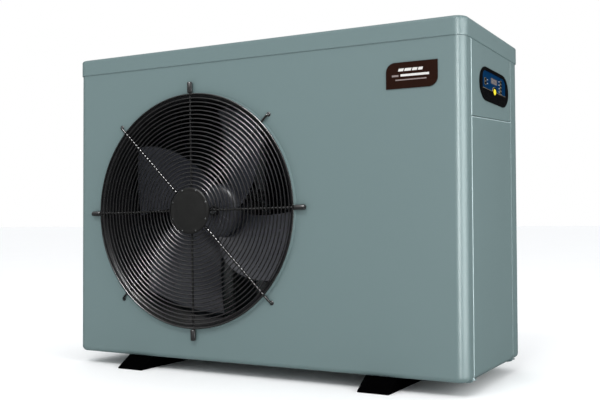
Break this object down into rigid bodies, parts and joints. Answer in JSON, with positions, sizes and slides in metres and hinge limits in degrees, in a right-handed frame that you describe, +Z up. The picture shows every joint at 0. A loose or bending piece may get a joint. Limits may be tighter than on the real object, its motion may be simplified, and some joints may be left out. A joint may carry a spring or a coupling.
{
  "type": "heat pump unit",
  "caption": "Air-source heat pump unit for pool water: box casing with a round fan guard in front, a control panel in one side, and two foot rails.",
  "frame": {"origin": "middle of the footprint, on the ground", "axes": "+Z up, the fan guard faces -Y, the control panel is on the +X side, the water unions point to +Y"},
  "size_m": [0.864, 0.41, 0.648],
  "materials": {
    "casing_paint": "satin blue-grey enamel",
    "galvanised_steel": "galvanised",
    "black_coated_steel": "satin black coating",
    "black_plastic": "matte",
    "gloss_black": "gloss",
    "plate_brown": "semi-gloss",
    "fascia_blue": "gloss film",
    "window_grey": "tinted, gloss",
    "button_yellow": "semi-gloss",
    "aluminium": "satin",
    "copper": "drawn copper",
    "brass": "turned",
    "black_rubber": "matte",
    "grey_pvc": "satin",
    "board_green": "lacquered"
  },
  "bodies": {
    "cabinet": {"base_pan": "casing_paint", "drain_nozzle": "black_plastic", "front_panel": "casing_paint", "service_panel": "casing_paint", "control_cover": "casing_paint", "rear_panel": "casing_paint", "left_side_panel": "casing_paint", "top_cover": "casing_paint", "rear_coil_guard": "black_coated_steel", "nameplate": "plate_brown", "foot_rail_left": "black_rubber", "foot_rail_right": "black_rubber", "rail_fixing_left": "galvanised_steel", "rail_fixing_right": "galvanised_steel", "fan_orifice_ring": "black_plastic", "fan_guard": "black_coated_steel", "guard_hub_disc": "black_plastic", "fan_motor": "aluminium", "motor_bracket": "galvanised_steel", "evaporator_coil": "aluminium", "coil_header": "copper", "partition_panel": "galvanised_steel", "heat_exchanger_shell": "grey_pvc", "water_inlet_pipe": "grey_pvc", "water_outlet_pipe": "grey_pvc", "flow_switch_body": "black_plastic", "inlet_union_nut": "grey_pvc", "outlet_union_nut": "grey_pvc", "compressor": "black_coated_steel", "compressor_mount_1": "black_rubber", "compressor_mount_2": "black_rubber", "compressor_mount_3": "black_rubber", "accumulator": "black_coated_steel", "compressor_terminal_cover": "black_plastic", "four_way_valve": "brass", "valve_solenoid": "black_plastic", "expansion_valve": "brass", "discharge_pipe": "copper", "suction_pipe": "copper", "liquid_pipe": "copper", "control_box": "galvanised_steel", "main_circuit_board": "board_green", "heat_sink": "aluminium", "terminal_block": "black_plastic", "cable_gland": "black_plastic", "display_bezel": "gloss_black", "display_fascia": "fascia_blue", "display_window": "window_grey", "display_board": "board_green"},
    "fan": {"fan_impeller": "black_plastic", "motor_shaft": "galvanised_steel", "fan_nut": "brass"},
    "paddle": {"flow_paddle": "galvanised_steel"},
    "left_key_1": {"left_button_1": "gloss_black"},
    "left_key_2": {"left_button_2": "gloss_black"},
    "right_key_1": {"right_button_1": "gloss_black"},
    "right_key_2": {"right_button_2": "gloss_black"},
    "right_key_3": {"right_button_3": "gloss_black"},
    "right_key_4": {"right_button_4": "gloss_black"},
    "power_key": {"power_button": "button_yellow"}
  },
  "joints": [
    {"name": "fan_spin", "type": "hinge", "parent": "cabinet", "child": "fan", "pos_m": [-0.1295, -0.167, 0.3215], "axis": [0, 1, 0], "continuous": true},
    {"name": "paddle_swing", "type": "hinge", "parent": "cabinet", "child": "paddle", "pos_m": [0.345, 0.0415, 0.409], "axis": [1, 0, 0], "range_deg": [0, 20], "stiffness_Nm_per_rad": 0.02, "springref_deg": -17.19},
    {"name": "left_press_1", "type": "slide", "parent": "cabinet", "child": "left_key_1", "axis": [-1, 0, 0], "range_m": [0, 0.001], "stiffness_N_per_m": 400, "springref_m": -0.001},
    {"name": "left_press_2", "type": "slide", "parent": "cabinet", "child": "left_key_2", "axis": [-1, 0, 0], "range_m": [0, 0.001], "stiffness_N_per_m": 400, "springref_m": -0.001},
    {"name": "right_press_1", "type": "slide", "parent": "cabinet", "child": "right_key_1", "axis": [-1, 0, 0], "range_m": [0, 0.001], "stiffness_N_per_m": 400, "springref_m": -0.001},
    {"name": "right_press_2", "type": "slide", "parent": "cabinet", "child": "right_key_2", "axis": [-1, 0, 0], "range_m": [0, 0.001], "stiffness_N_per_m": 400, "springref_m": -0.001},
    {"name": "right_press_3", "type": "slide", "parent": "cabinet", "child": "right_key_3", "axis": [-1, 0, 0], "range_m": [0, 0.001], "stiffness_N_per_m": 400, "springref_m": -0.001},
    {"name": "right_press_4", "type": "slide", "parent": "cabinet", "child": "right_key_4", "axis": [-1, 0, 0], "range_m": [0, 0.001], "stiffness_N_per_m": 400, "springref_m": -0.001},
    {"name": "power_press", "type": "slide", "parent": "cabinet", "child": "power_key", "axis": [-1, 0, 0], "range_m": [0, 0.001], "stiffness_N_per_m": 400, "springref_m": -0.001}
  ]
}
